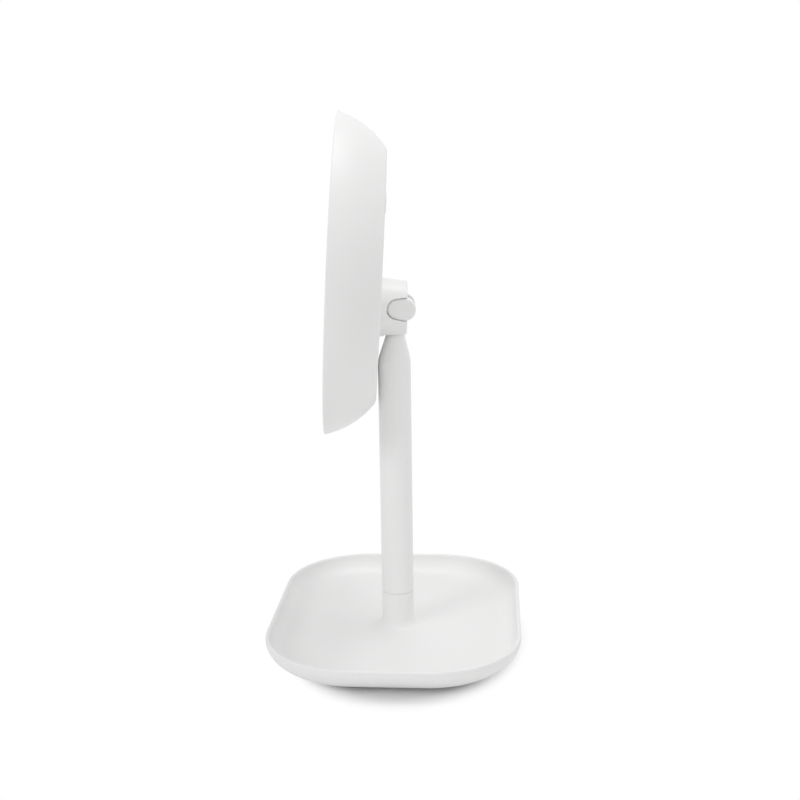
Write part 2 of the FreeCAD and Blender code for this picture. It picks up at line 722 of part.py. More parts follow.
def carrier_screw_holes():
    """Shank holes for the carrier's screws."""
    rear = V(0, 1, 0)
    return [
        screw_hole(carrier_screw_seat(x, z), rear, CARRIER_SCREW_LENGTH) for x, z in carrier_screw_places()
    ]


def board_screw_places():
    """Corners of the main board where its screws go."""
    across = BOARD_LENGTH / 2 - BOARD_SCREW_INSET
    up = BOARD_HEIGHT / 2 - BOARD_SCREW_INSET
    return [(across * side, BOARD_Z + up * level) for side in SIDES for level in SIDES]


def board_screw_holes():
    """Shank holes for the main board's screws."""
    rear = V(0, 1, 0)
    return [
        screw_hole(V(x, BOARD_FRONT_Y, z), rear, BOARD_SCREW_LENGTH) for x, z in board_screw_places()
    ]


def shell_posts():
    """Posts that stand on the inside of the back for the carrier and the main board."""
    root = INSIDE_Y + SHELL_WALL / 2
    carrier_top = CARRIER_SEAT_DEPTH - PIVOT_BEHIND_RIM
    posts = [
        rod(CARRIER_BOSS_RADIUS - SHELL_WALL / 2, V(x, carrier_top, z), V(x, root, z))
        for x, z in carrier_screw_places()
    ]
    for x, z in board_screw_places():
        posts.append(rod(BOARD_POST_RADIUS, V(x, BOARD_REAR_Y, z), V(x, root, z)))
    return posts


def stadium(length, width, start, end, x, z):
    """Round-ended prism along the mirror's axis."""
    half = (length - width) / 2
    low = V(x - half, start, z - width / 2)
    high = V(x + half, end, z + width / 2)
    ends = [
        rod(width / 2, V(x + half * side, start, z), V(x + half * side, end, z)) for side in SIDES
    ]
    return joined(block(low, high), ends)


def rear_shell():
    """Bowl of the head with its inner posts and the openings in its back."""
    shell = joined(dish(0).cut(dish(SHELL_WALL)), shell_posts())
    rabbet = rod(RABBET_RADIUS, head_point(0, -PAST), head_point(0, RABBET_DEPTH))
    button_hole = rod(
        BUTTON_DIAMETER / 2 + SEAT_GAP, V(0, INSIDE_Y - PAST, BUTTON_Z), V(0, BACK_Y + PAST, BUTTON_Z)
    )
    socket_hole = stadium(
        SOCKET_LENGTH + 2 * SEAT_GAP,
        SOCKET_WIDTH + 2 * SEAT_GAP,
        INSIDE_Y - PAST,
        BACK_Y + PAST,
        SOCKET_X,
        BOARD_Z,
    )
    cuts = [rabbet, button_hole, socket_hole] + hinge_screw_holes()
    shell = shell.cut(cuts + carrier_screw_holes() + board_screw_holes())
    rim_edges = edges_at_y(shell, -PIVOT_BEHIND_RIM)
    return shell.makeFillet(LIP_ROUND, rim_edges)


def front_bezel():
    """Trim ring in the shell's rabbet that holds the diffuser's edge."""
    step_depth = DIFFUSER_REAR - DIFFUSER_STEP - RUNNING_FIT
    wall_bore = BEZEL_OUTER - BEZEL_WALL
    return turned_outline(
        [
            (BEZEL_BORE, BEZEL_DEPTH),
            (BEZEL_OUTER, BEZEL_DEPTH),
            (BEZEL_OUTER, DIFFUSER_REAR),
            (wall_bore, DIFFUSER_REAR),
            (wall_bore, step_depth),
            (BEZEL_BORE, step_depth),
        ]
    )


def light_diffuser():
    """Frosted ring with a crowned face round the glass."""
    inner = CARRIER_BORE
    step = BEZEL_BORE - RUNNING_FIT
    crown = head_point((inner + step) / 2, DIFFUSER_DEPTH - DIFFUSER_CROWN)
    front_inner = head_point(inner, DIFFUSER_DEPTH)
    front_outer = head_point(step, DIFFUSER_DEPTH)
    step_top = head_point(step, DIFFUSER_REAR - DIFFUSER_STEP)
    step_edge = head_point(DIFFUSER_OUTER, DIFFUSER_REAR - DIFFUSER_STEP)
    rear_edge = head_point(DIFFUSER_OUTER, DIFFUSER_REAR)
    rear_inner = head_point(inner, DIFFUSER_REAR)
    return turned(
        [
            Part.Arc(front_inner, crown, front_outer).toShape(),
            Part.makeLine(front_outer, step_top),
            Part.makeLine(step_top, step_edge),
            Part.makeLine(step_edge, rear_edge),
            Part.makeLine(rear_edge, rear_inner),
            Part.makeLine(rear_inner, front_inner),
        ]
    )


# Glass and carrier, in the head's own frame


def glass_depth(radius):
    """Depth of the hollow glass face behind the rim at a radius."""
    edge = math.sqrt(GLASS_CURVE_RADIUS ** 2 - GLASS_RADIUS ** 2)
    return GLASS_EDGE_DEPTH + math.sqrt(GLASS_CURVE_RADIUS ** 2 - radius ** 2) - edge


def hollow_arc(inner, outer, behind):
    """Arc that follows the glass face, a distance behind it, between two radii."""
    middle = (inner + outer) / 2
    return Part.Arc(
        head_point(inner, glass_depth(inner) + behind),
        head_point(middle, glass_depth(middle) + behind),
        head_point(outer, glass_depth(outer) + behind),
    ).toShape()


def hollow_disc(inner, outer, front, rear):
    """Disc or ring curved like the glass, between two distances behind its face."""
    return turned(
        [
            hollow_arc(inner, outer, front),
            Part.makeLine(
                head_point(outer, glass_depth(outer) + front), head_point(outer, glass_depth(outer) + rear)
            ),
            hollow_arc(inner, outer, rear),
            Part.makeLine(
                head_point(inner, glass_depth(inner) + rear), head_point(inner, glass_depth(inner) + front)
            ),
        ]
    )


def mirror_glass():
    """Hollow magnifying glass."""
    return hollow_disc(0, GLASS_RADIUS, 0, GLASS_THICKNESS)


def mirror_tape():
    """Ring of foam tape that holds the glass to its carrier."""
    outer = GLASS_RADIUS - TAPE_EDGE_GAP
    front = GLASS_THICKNESS + GLUE_GAP
    rear = GLASS_THICKNESS + TAPE_THICKNESS - GLUE_GAP
    return hollow_disc(outer - TAPE_WIDTH, outer, front, rear)


def carrier_outer(depth):
    """Radius of the carrier's outside at a depth, just inside the shell's wall."""
    return wall_radius(depth, SHELL_WALL + SEAT_GAP)


def mirror_carrier():
    """White plate behind the glass with a slanted trough round it that throws the light forwards."""
    plate_front = GLASS_THICKNESS + TAPE_THICKNESS
    plate_rear = plate_front + CARRIER_PLATE
    plate_edge = glass_depth(CARRIER_BORE) + plate_front
    plate_edge_rear = glass_depth(CARRIER_BORE) + plate_rear
    plate = hollow_disc(0, CARRIER_BORE, plate_front, plate_rear)
    trough = turned_outline(
        [
            (CARRIER_BORE, DIFFUSER_REAR),
            (CHANNEL_INNER, DIFFUSER_REAR),
            (CHANNEL_INNER, CHANNEL_DEPTH),
            (carrier_outer(CARRIER_REAR) - CARRIER_WALL, CHANNEL_DEPTH),
            (carrier_outer(DIFFUSER_REAR) - CARRIER_WALL, DIFFUSER_REAR),
            (carrier_outer(DIFFUSER_REAR), DIFFUSER_REAR),
            (carrier_outer(CARRIER_REAR), CARRIER_REAR),
            (CARRIER_BORE, CARRIER_REAR),
            (CARRIER_BORE, plate_edge_rear),
            (CARRIER_BORE, plate_edge),
        ]
    )
    bosses = []
    sinks = []
    for x, z in carrier_screw_places():
        seat = carrier_screw_seat(x, z)
        place = math.hypot(x, z - PIVOT_BELOW_CENTRE)
        root = glass_depth(place) + (plate_front + plate_rear) / 2 - PIVOT_BEHIND_RIM
        foot = CARRIER_SEAT_DEPTH - PIVOT_BEHIND_RIM
        bosses.append(rod(CARRIER_BOSS_RADIUS, V(x, root, z), V(x, foot, z)))
        sinks.append(rod(SMALL_SCREW_HEAD_DIAMETER / 2 + SEAT_GAP, V(x, -PIVOT_BEHIND_RIM, z), seat))
    return joined(plate, [trough] + bosses).cut(sinks + carrier_screw_holes())


def carrier_screws():
    """Screws that hold the carrier to the shell."""
    rear = V(0, 1, 0)
    return Part.makeCompound(
        [
            pan_head_screw(carrier_screw_seat(x, z), rear, CARRIER_SCREW_LENGTH)
            for x, z in carrier_screw_places()
        ]
    )


def led_board():
    """Narrow round circuit board on the floor of the trough."""
    inner = CHANNEL_INNER + SEAT_GAP
    return ring(
        inner + LED_BOARD_WIDTH,
        inner,
        head_point(0, CHANNEL_DEPTH - LED_BOARD_THICKNESS),
        head_point(0, CHANNEL_DEPTH),
    )


def leds():
    """Ring of light emitters on the round board."""
    front = CHANNEL_DEPTH - LED_BOARD_THICKNESS - LED_HEIGHT
    place = CHANNEL_INNER + SEAT_GAP + LED_BOARD_WIDTH / 2
    first = block(
        head_point(place - LED_WIDTH / 2, front) - V(0, 0, LED_LENGTH / 2),
        head_point(place + LED_WIDTH / 2, front + LED_HEIGHT) + V(0, 0, LED_LENGTH / 2),
    )
    emitters = []
    for index in range(LED_COUNT):
        emitter = first.copy()
        emitter.rotate(head_point(0, 0), V(0, 1, 0), 360.0 * index / LED_COUNT)
        emitters.append(emitter)
    return Part.makeCompound(emitters)


# Electronics, in the head's own frame


def main_board():
    """Control board on its posts behind the carrier."""
    low = V(-BOARD_LENGTH / 2, BOARD_FRONT_Y, BOARD_Z - BOARD_HEIGHT / 2)
    high = V(BOARD_LENGTH / 2, BOARD_REAR_Y, BOARD_Z + BOARD_HEIGHT / 2)
    return block(low, high).cut(board_screw_holes())


def board_screws():
    """Four screws that hold the main board."""
    rear = V(0, 1, 0)
    return Part.makeCompound(
        [pan_head_screw(V(x, BOARD_FRONT_Y, z), rear, BOARD_SCREW_LENGTH) for x, z in board_screw_places()]
    )


def board_chip(x, z, length, height):
    """Flat packaged chip on the front of the main board."""
    low = V(x - length / 2, BOARD_FRONT_Y - CHIP_HEIGHT, z - height / 2)
    high = V(x + length / 2, BOARD_FRONT_Y, z + height / 2)
    return block(low, high)


def board_chips():
    """Charger, controller and light driver on the main board."""
    quarter = BOARD_LENGTH / 4
    side = BOARD_HEIGHT / 5
    return Part.makeCompound(
        [
            board_chip(quarter, BOARD_Z, side, side),
            board_chip(0, BOARD_Z - side / 2, 2 * side, side),
            board_chip(-quarter, BOARD_Z, side, side),
        ]
    )


def tact_switch():
    """Push switch on the rear of the main board, under the button."""
    half = SWITCH_SIZE / 2
    top = BOARD_REAR_Y + SWITCH_HEIGHT
    body = block(V(-half, BOARD_REAR_Y, BUTTON_Z - half), V(half, top, BUTTON_Z + half))
    plunger = rod(
        SWITCH_PLUNGER_DIAMETER / 2, V(0, top, BUTTON_Z), V(0, top + SWITCH_PLUNGER_HEIGHT, BUTTON_Z)
    )
    return joined(body, [plunger])


def power_button():
    """Round button in the back, kept in by a flange, with a shallow finger dish."""
    top = BACK_Y + BUTTON_PROUD
    flange_rear = INSIDE_Y - RUNNING_FIT
    flange_front = flange_rear - BUTTON_FLANGE_THICKNESS
    stem_end = BOARD_REAR_Y + SWITCH_HEIGHT + SWITCH_PLUNGER_HEIGHT + BUTTON_TRAVEL + RUNNING_FIT
    radius = BUTTON_DIAMETER / 2
    cap = rod(radius, V(0, flange_front, BUTTON_Z), V(0, top, BUTTON_Z))
    cap = cap.makeFillet(BUTTON_EDGE_ROUND, edges_at_y(cap, top))
    ball_radius = (radius ** 2 / 2 + BUTTON_DISH ** 2) / (2 * BUTTON_DISH)
    ball = Part.makeSphere(ball_radius, V(0, top - BUTTON_DISH + ball_radius, BUTTON_Z))
    flange = rod(radius + BUTTON_FLANGE, V(0, flange_front, BUTTON_Z), V(0, flange_rear, BUTTON_Z))
    stem = rod(SWITCH_PLUNGER_DIAMETER / 2, V(0, stem_end, BUTTON_Z), V(0, flange_front, BUTTON_Z))
    return joined(cap.cut(ball), [flange, stem])


def charging_socket():
    """Flat oval charging inlet with its contact tongue."""
    mouth = BACK_Y - SOCKET_RECESS
    outside = stadium(SOCKET_LENGTH, SOCKET_WIDTH, BOARD_REAR_Y, mouth, SOCKET_X, BOARD_Z)
    floor = BOARD_REAR_Y + SOCKET_WIDTH
    inside = stadium(
        SOCKET_LENGTH - 2 * SOCKET_WALL,
        SOCKET_WIDTH - 2 * SOCKET_WALL,
        floor,
        mouth + PAST,
        SOCKET_X,
        BOARD_Z,
    )
    half = (SOCKET_LENGTH - SOCKET_WIDTH) / 2
    tongue = block(
        V(SOCKET_X - half, BOARD_REAR_Y, BOARD_Z - SOCKET_TONGUE / 2),
        V(SOCKET_X + half, mouth - SOCKET_RECESS, BOARD_Z + SOCKET_TONGUE / 2),
    )
    return joined(outside.cut(inside), [tongue])


def battery_cell():
    """Flat rechargeable cell on the inside of the back, below the hinge."""
    rear = INSIDE_Y - BATTERY_TAPE_THICKNESS
    low = V(-BATTERY_LENGTH / 2, rear - BATTERY_THICKNESS, BATTERY_Z - BATTERY_HEIGHT / 2)
    high = V(BATTERY_LENGTH / 2, rear, BATTERY_Z + BATTERY_HEIGHT / 2)
    cell = block(low, high)
    long_edges = [edge for edge in cell.Edges if edge.BoundBox.ZLength > TOLERANCE]
    return cell.makeFillet(BATTERY_ROUND, long_edges)


def battery_tape():
    """Two foam strips that hold the ends of the cell to the back, clear of the hinge screws' heads."""
    up = BATTERY_HEIGHT / 2 - BATTERY_TAPE_INSET
    outer = BATTERY_LENGTH / 2 - BATTERY_ROUND
    low = V(outer - BATTERY_TAPE_WIDTH, INSIDE_Y - BATTERY_TAPE_THICKNESS, BATTERY_Z - up)
    high = V(outer, INSIDE_Y, BATTERY_Z + up)
    strip = block(low, high)
    return Part.makeCompound([strip, strip.mirror(ORIGIN, V(1, 0, 0))])


# Rest pose and export


def in_base(shape):
    """Base pieces are drawn where they stand."""
    return shape


def in_column(shape):
    """Column pieces turn about the upright axis."""
    placed = shape.copy()
    placed.rotate(ORIGIN, V(0, 0, 1), REST_SWIVEL)
    return placed


def in_head(shape):
    """Head pieces lean back about the pivot, move to its place on the column and turn with the column."""
    placed = shape.copy()
    placed.rotate(ORIGIN, V(1, 0, 0), -REST_TILT)
    placed.translate(V(0, PIVOT_SETBACK, PIVOT_HEIGHT))
    placed.rotate(ORIGIN, V(0, 0, 1), REST_SWIVEL)
    return placed


BASE_PIECES = {
    "base_tray": base_tray,
    "base_bottom_plate": base_bottom_plate,
    "base_screws": base_screws,
    "ballast_plate": ballast_plate,
    "anti_slip_pad": anti_slip_pad,
    "swivel_bearing": swivel_bearing,
}
COLUMN_PIECES = {
    "column_tube": column_tube,
    "swivel_spigot": swivel_spigot,
    "threaded_insert": threaded_insert,
    "swivel_bolt": swivel_bolt,
    "swivel_washer": swivel_washer,
}
HEAD_PIECES = {
    "hinge_cheek_left": lambda: hinge_cheek(-1),
    "hinge_cheek_right": lambda: hinge_cheek(1),
    "hinge_boss": hinge_boss,
    "hinge_axle": hinge_axle,
    "hinge_discs": hinge_discs,
    "hinge_screws": hinge_screws,
    "rear_shell": rear_shell,
    "front_bezel": front_bezel,
    "light_diffuser": light_diffuser,
    "mirror_glass": mirror_glass,
    "mirror_tape": mirror_tape,
    "mirror_carrier": mirror_carrier,
    "carrier_screws": carrier_screws,
    "led_board": led_board,
    "leds": leds,
    "main_board": main_board,
    "board_screws": board_screws,
    "board_chips": board_chips,
    "tact_switch": tact_switch,
    "power_button": power_button,
    "charging_socket": charging_socket,
    "battery_cell": battery_cell,
    "battery_tape": battery_tape,
}


def main():
    """Build every piece in its rest pose and write one file for each."""
    os.makedirs("parts", exist_ok=True)
    for pieces, place in ((BASE_PIECES, in_base), (COLUMN_PIECES, in_column), (HEAD_PIECES, in_head)):
        for name, build in pieces.items():
            shape = place(build())
            if not shape.isValid() or shape.Volume <= 0:
                raise ValueError("bad solid: " + name)
            shape.exportStep("parts/" + name + ".step")
            print(name, len(shape.Solids), round(shape.Volume, 1))


main()
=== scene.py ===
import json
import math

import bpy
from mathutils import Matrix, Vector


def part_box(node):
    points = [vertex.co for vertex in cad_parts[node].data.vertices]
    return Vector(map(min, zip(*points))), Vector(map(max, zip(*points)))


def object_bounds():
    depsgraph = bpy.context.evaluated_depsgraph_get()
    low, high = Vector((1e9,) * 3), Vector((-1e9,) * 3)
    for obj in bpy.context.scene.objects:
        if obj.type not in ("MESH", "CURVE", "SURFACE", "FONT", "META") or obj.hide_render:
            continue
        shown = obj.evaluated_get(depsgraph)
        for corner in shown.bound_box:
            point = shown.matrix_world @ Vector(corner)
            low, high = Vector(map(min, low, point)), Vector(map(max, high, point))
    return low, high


bl_info = {
    "name": "Lighted Magnifying Mirror",
    "version": (1, 0, 0),
    "blender": (4, 5, 0),
    "location": "View3D > Sidebar > Mirror",
    "description": "Finishes, light and camera for a lighted magnifying mirror on a dish base",
    "category": "Object",
}

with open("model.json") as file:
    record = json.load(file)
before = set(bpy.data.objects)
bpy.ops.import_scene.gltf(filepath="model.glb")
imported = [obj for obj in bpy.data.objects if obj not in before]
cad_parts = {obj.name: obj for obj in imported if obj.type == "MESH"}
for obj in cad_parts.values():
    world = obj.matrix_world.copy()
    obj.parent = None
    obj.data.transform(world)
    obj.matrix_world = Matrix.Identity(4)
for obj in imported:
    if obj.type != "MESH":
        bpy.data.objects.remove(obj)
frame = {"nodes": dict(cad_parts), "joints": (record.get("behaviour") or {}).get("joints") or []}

# What the frame says about the object, in metres
CAD_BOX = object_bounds()
JOINTS = {joint["name"]: joint for joint in frame["joints"]}
FORWARD = Vector(JOINTS["button_press"]["axis"]).normalized()
HINGE_AXIS = Vector(JOINTS["head_tilt"]["axis"]).normalized()
HEAD_UP = FORWARD.cross(HINGE_AXIS).normalized()
UP = Vector((0.0, 0.0, 1.0))

# Sizes and counts that the finishes follow
MILLIMETRE = 0.001
EMITTER_COUNT = 48
EMITTER_WIDTH = 2.6 * MILLIMETRE
TONGUE_REACH = 0.5 * MILLIMETRE
BOARD_PATCH = 11.0 * MILLIMETRE

# Cosines between which a surface goes from turned away to looking in a direction
TURNED_AWAY = 0.45
LOOKING = 0.55

# Distances from the middle of a copper track, as shares of the spacing, between which it fades out
TRACK_CORE = 0.17
TRACK_EDGE = 0.22

# Stage
PLAIN_WHITE = (1.0, 1.0, 1.0, 1.0)
SENSOR_WIDTH = 36.0
FLOOR_SIDES = 96


def middle(node):
    """Centre of a node's box."""
    low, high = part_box(node)
    return (low + high) / 2


def shade(colour, level):
    """A colour made lighter or darker by a factor."""
    return (colour[0] * level, colour[1] * level, colour[2] * level, 1.0)


def spread(share, low, high):
    """Value that goes from low to high as share goes from 0 to 1."""
    return low + (high - low) * share


# Node trees written as expressions


# Places of the Mix node's sockets, whose names repeat for each kind of data
MIX_SHARE = 0
FIRST_VECTOR = 4
SECOND_VECTOR = 5
FIRST_COLOUR = 6
SECOND_COLOUR = 7
MIXED_VECTOR = 1
MIXED_COLOUR = 2


class Value:
    """One socket of a node tree. Arithmetic on it adds Math nodes."""

    def __init__(self, tree, socket):
        self.tree = tree
        self.socket = socket

    def maths(self, operation, first, second=0.0, third=0.0):
        return self.tree.node("Math", {"operation": operation}, {0: first, 1: second, 2: third})

    def __add__(self, other):
        return self.maths("ADD", self, other)

    def __radd__(self, other):
        return self.maths("ADD", other, self)

    def __sub__(self, other):
        return self.maths("SUBTRACT", self, other)

    def __rsub__(self, other):
        return self.maths("SUBTRACT", other, self)

    def __mul__(self, other):
        return self.maths("MULTIPLY", self, other)

    def __rmul__(self, other):
        return self.maths("MULTIPLY", other, self)

    def __truediv__(self, other):
        return self.maths("DIVIDE", self, other)

    def __abs__(self):
        return self.maths("ABSOLUTE", self)

    def at_least(self, other):
        return self.maths("MAXIMUM", self, other)

    def root(self):
        return self.maths("SQRT", self)

    def wrapped(self, high, low):
        return self.maths("WRAP", self, high, low)


class Tree:
    """The node tree of one material or of the world."""

    def __init__(self, owner):
        owner.use_nodes = True
        self.nodes = owner.node_tree.nodes
        self.links = owner.node_tree.links
        self.nodes.clear()

    def node(self, kind, settings=None, inputs=None, out=0):
        """Add a node, set its settings, then its sockets, and return one of its outputs, if it has any."""
        node = self.nodes.new("ShaderNode" + kind)
        for name, setting in (settings or {}).items():
            setattr(node, name, setting)
        for name, given in (inputs or {}).items():
            if isinstance(given, Value):
                self.links.new(given.socket, node.inputs[name])
            else:
                node.inputs[name].default_value = given
        if node.outputs:
            return Value(self, node.outputs[out])

    def place(self):
        """Position on the object at rest, in metres."""
        return self.node("TexCoord", out="Object")

    def facing(self, direction):
        """How much the surface faces a direction at rest, from -1 to 1."""
        normal = self.node("TexCoord", out="Normal")
        return self.along(normal, direction)

    def looking(self, direction):
        """1 where the surface looks in a direction at rest, and 0 where it is turned away."""
        return self.step(self.facing(direction), TURNED_AWAY, LOOKING)

    def along(self, vector, direction):
        """Length of a vector along a direction."""
        settings = {"operation": "DOT_PRODUCT"}
        return self.node("VectorMath", settings, {0: vector, 1: direction}, out="Value")

    def from_to(self, start, end):
        """Vector from one place to another."""
        return self.node("VectorMath", {"operation": "SUBTRACT"}, {0: end, 1: start})

    def noise(self, place, size, detail=2.0, roughness=0.5):
        """Soft noise from 0 to 1 whose lumps are about one size across, in metres."""
        inputs = {"Vector": place, "Scale": 1.0 / size, "Detail": detail, "Roughness": roughness}
        return self.node("TexNoise", None, inputs, out="Fac")

    def cells(self, place, size, out="Distance"):
        """Cells about one size across, in metres: the distance from their middles, or a colour for each."""
        return self.node("TexVoronoi", None, {"Vector": place, "Scale": 1.0 / size}, out=out)

    def step(self, value, low, high):
        """Smooth step from 0 at low to 1 at high."""
        settings = {"interpolation_type": "SMOOTHSTEP"}
        return self.node("MapRange", settings, {"Value": value, "From Min": low, "From Max": high})

    def mix(self, share, first, second):
        """Colour that goes from the first to the second as share goes from 0 to 1."""
        inputs = {MIX_SHARE: share, FIRST_COLOUR: first, SECOND_COLOUR: second}
        return self.node("Mix", {"data_type": "RGBA"}, inputs, out=MIXED_COLOUR)

    def tint(self, share, colour, low, high):
        """One colour whose brightness goes from low to high as share goes from 0 to 1."""
        return self.mix(share, shade(colour, low), shade(colour, high))

    def bump(self, height, depth):
        """Normal of a fine relief, with its depth in metres."""
        return self.node("Bump", None, {"Height": height, "Distance": depth})

    def hollow_normal(self, share, centre):
        """Normal that turns from the mesh's own towards a centre of curvature as share goes from 0 to 1."""
        inwards = self.from_to(self.place(), centre)
        inwards = self.node("VectorMath", {"operation": "NORMALIZE"}, {0: inwards})
        spaces = {"vector_type": "NORMAL", "convert_from": "OBJECT", "convert_to": "WORLD"}
        inwards = self.node("VectorTransform", spaces, {0: inwards})
        own = self.node("NewGeometry", out="Normal")
        inputs = {MIX_SHARE: share, FIRST_VECTOR: own, SECOND_VECTOR: inwards}
        return self.node("Mix", {"data_type": "VECTOR"}, inputs, out=MIXED_VECTOR)

    def surface(self, **sockets):
        """Close a material with the standard surface shader."""
        named = {name.replace("_", " ").title(): given for name, given in sockets.items()}
        shader = self.node("BsdfPrincipled", None, named)
        self.node("OutputMaterial", None, {"Surface": shader})


def new_tree(name):
    """The material of one name, made if there is none yet, and its emptied node tree."""
    material = bpy.data.materials.get(name) or bpy.data.materials.new(name)
    return material, Tree(material)


def dress(material, *nodes):
    """Give nodes their finish."""
    for name in nodes:
        slots = frame["nodes"][name].material_slots
        if not slots:
            raise RuntimeError("node without a material slot: " + name)
        for slot in slots:
            slot.material = material


# Sizes and colours that a user would change


class PlasticSettings(bpy.types.PropertyGroup):
    """Moulded plastics of the mirror."""

    white: bpy.props.FloatVectorProperty(
        name="White",
        description="Colour of the satin white mouldings",
        subtype="COLOR",
        size=3,
        default=(0.93, 0.93, 0.925),
    )
    satin: bpy.props.FloatProperty(
        name="Satin",
        description="Mean roughness of the white mouldings",
        subtype="FACTOR",
        default=0.42,
    )
    grain: bpy.props.FloatProperty(
        name="Grain",
        description="Width of the fine lumps of the moulded surface",
        unit="LENGTH",
        default=0.45 * MILLIMETRE,
    )
    grain_depth: bpy.props.FloatProperty(
        name="Grain depth",
        description="Depth of the fine lumps of the moulded surface",
        unit="LENGTH",
        default=0.008 * MILLIMETRE,
    )
    reflector: bpy.props.FloatVectorProperty(
        name="Reflector",
        description="Colour of the bright white carrier behind the glass",
        subtype="COLOR",
        size=3,
        default=(0.92, 0.92, 0.91),
    )
    bearing: bpy.props.FloatVectorProperty(
        name="Bearing",
        description="Colour of the slippery plastic in the swivel",
        subtype="COLOR",
        size=3,
        default=(0.80, 0.80, 0.78),
    )
    black: bpy.props.FloatVectorProperty(
        name="Black",
        description="Colour of chips and the switch",
        subtype="COLOR",
        size=3,
        default=(0.02, 0.02, 0.021),
    )
    rubber: bpy.props.FloatVectorProperty(
        name="Rubber",
        description="Colour of the pad under the base",
        subtype="COLOR",
        size=3,
        default=(0.055, 0.055, 0.058),
    )
    foam: bpy.props.FloatVectorProperty(
        name="Foam tape",
        description="Colour of the foam tapes",
        subtype="COLOR",
        size=3,
        default=(0.75, 0.75, 0.72),
    )


class GlassSettings(bpy.types.PropertyGroup):
    """Magnifying glass and the frosted ring of light round it."""

    silver: bpy.props.FloatVectorProperty(
        name="Silver",
        description="Tint of what the glass reflects",
        subtype="COLOR",
        size=3,
        default=(0.80, 0.82, 0.825),
    )
    curve: bpy.props.FloatProperty(
        name="Curve",
        description="Radius of the glass's hollow face",
        unit="LENGTH",
        default=800.0 * MILLIMETRE,
    )
    edge: bpy.props.FloatVectorProperty(
        name="Ground edge",
        description="Colour of the glass seen through its ground edge",
        subtype="COLOR",
        size=3,
        default=(0.42, 0.58, 0.52),
    )
    backing: bpy.props.FloatVectorProperty(
        name="Backing",
        description="Colour of the paint that guards the silver",
        subtype="COLOR",
        size=3,
        default=(0.24, 0.25, 0.27),
    )
    frosted: bpy.props.FloatVectorProperty(
        name="Frosted ring",
        description="Colour of the frosted ring with the light off",
        subtype="COLOR",
        size=3,
        default=(0.90, 0.90, 0.885),
    )
    phosphor: bpy.props.FloatVectorProperty(
        name="Phosphor",
        description="Colour of the light emitters' windows with the light off",
        subtype="COLOR",
        size=3,
        default=(0.86, 0.62, 0.12),
    )
    window: bpy.props.FloatProperty(
        name="Window",
        description="Diameter of a light emitter's window",
        unit="LENGTH",
        default=2.1 * MILLIMETRE,
    )


class MetalSettings(bpy.types.PropertyGroup):
    """Metals, laminates and the cell inside the mirror."""

    steel: bpy.props.FloatVectorProperty(
        name="Steel",
        description="Colour of zinc-plated steel",
        subtype="COLOR",
        size=3,
        default=(0.60, 0.61, 0.62),
    )
    brass: bpy.props.FloatVectorProperty(
        name="Brass",
        description="Colour of machined brass",
        subtype="COLOR",
        size=3,
        default=(0.78, 0.58, 0.24),
    )
    foil: bpy.props.FloatVectorProperty(
        name="Foil",
        description="Colour of the cell's pouch",
        subtype="COLOR",
        size=3,
        default=(0.68, 0.69, 0.70),
    )
    laminate: bpy.props.FloatVectorProperty(
        name="Laminate",
        description="Colour of the lacquer on the main board",
        subtype="COLOR",
        size=3,
        default=(0.02, 0.16, 0.06),
    )
    white_lacquer: bpy.props.FloatVectorProperty(
        name="White lacquer",
        description="Colour of the lacquer on the round light board",
        subtype="COLOR",
        size=3,
        default=(0.84, 0.84, 0.82),
    )
    track: bpy.props.FloatProperty(
        name="Track",
        description="Spacing of the copper tracks under the lacquer",
        unit="LENGTH",
        default=1.6 * MILLIMETRE,
    )


